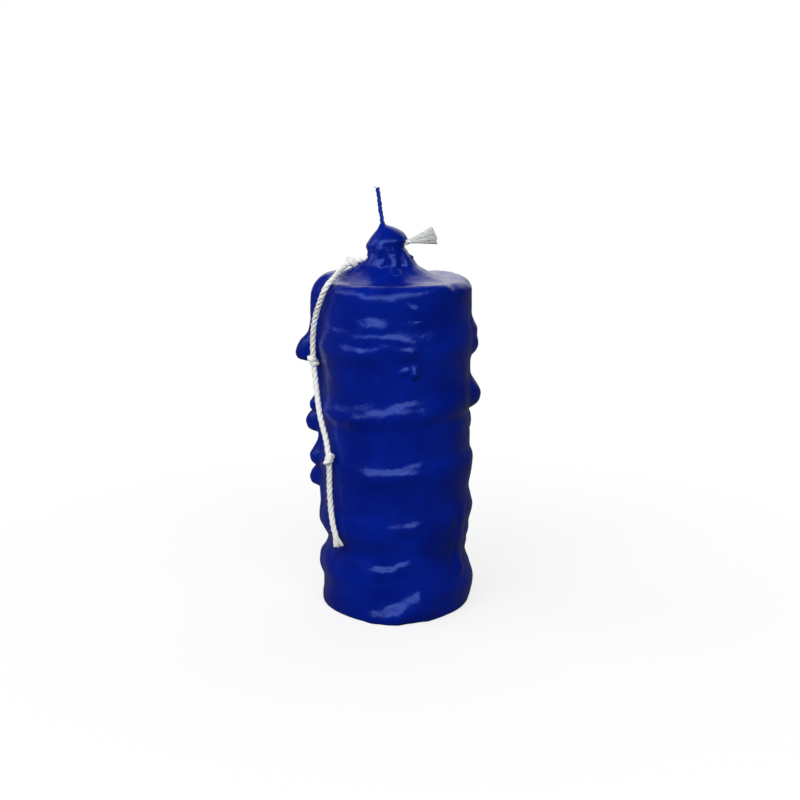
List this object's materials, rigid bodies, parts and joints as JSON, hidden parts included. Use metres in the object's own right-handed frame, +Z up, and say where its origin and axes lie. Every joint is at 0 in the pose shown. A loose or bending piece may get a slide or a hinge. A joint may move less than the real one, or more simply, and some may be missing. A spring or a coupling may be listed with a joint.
{
  "type": "pillar candle",
  "caption": "Hand-dipped blue wax pillar candle with a wick, and a knotted cotton cord tied round the wick under a poured wax seal and hanging down the side.",
  "frame": {"origin": "middle of the base, on the surface that the candle stands on", "axes": "+Z up along the pillar, -Y towards the viewer, +X to the viewer's right"},
  "size_m": [0.0819, 0.073, 0.1904],
  "materials": {
    "blue_wax": "glossy deep blue dipped wax",
    "core_wax": "cast blue wax, cut face",
    "waxed_wick": "braided cotton soaked in blue wax",
    "tinplate": "stamped tinplate",
    "cotton_cord": "white twisted cotton"
  },
  "bodies": {
    "candle": {"wax_core": "core_wax", "overdip_coat": "blue_wax", "wick": "waxed_wick", "wick_sustainer": "tinplate", "wax_seal": "blue_wax", "cord_binding": "cotton_cord", "tassel_stem": "cotton_cord", "tassel": "cotton_cord", "cord_neck_run": "cotton_cord", "knot_neck": "cotton_cord", "cord_shoulder_run": "cotton_cord"},
    "tail_upper": {"cord_upper_drop": "cotton_cord", "knot_upper": "cotton_cord"},
    "tail_middle": {"cord_middle_drop": "cotton_cord", "knot_lower": "cotton_cord"},
    "tail_lower": {"cord_lower_drop": "cotton_cord", "frayed_tip": "cotton_cord"}
  },
  "joints": [
    {"name": "rim_bend", "type": "hinge", "parent": "candle", "child": "tail_upper", "pos_m": [-0.0275, -0.0155, 0.1515], "axis": [-0.491, 0.8712, 0], "range_deg": [0, 90]},
    {"name": "upper_knot_bend", "type": "hinge", "parent": "tail_upper", "child": "tail_middle", "pos_m": [-0.037, -0.006, 0.114], "axis": [-0.3746, 0.9272, 0], "range_deg": [0, 60]},
    {"name": "lower_knot_bend", "type": "hinge", "parent": "tail_middle", "child": "tail_lower", "pos_m": [-0.0295, -0.0235, 0.073], "axis": [-0.6428, 0.766, 0], "range_deg": [0, 60]}
  ]
}
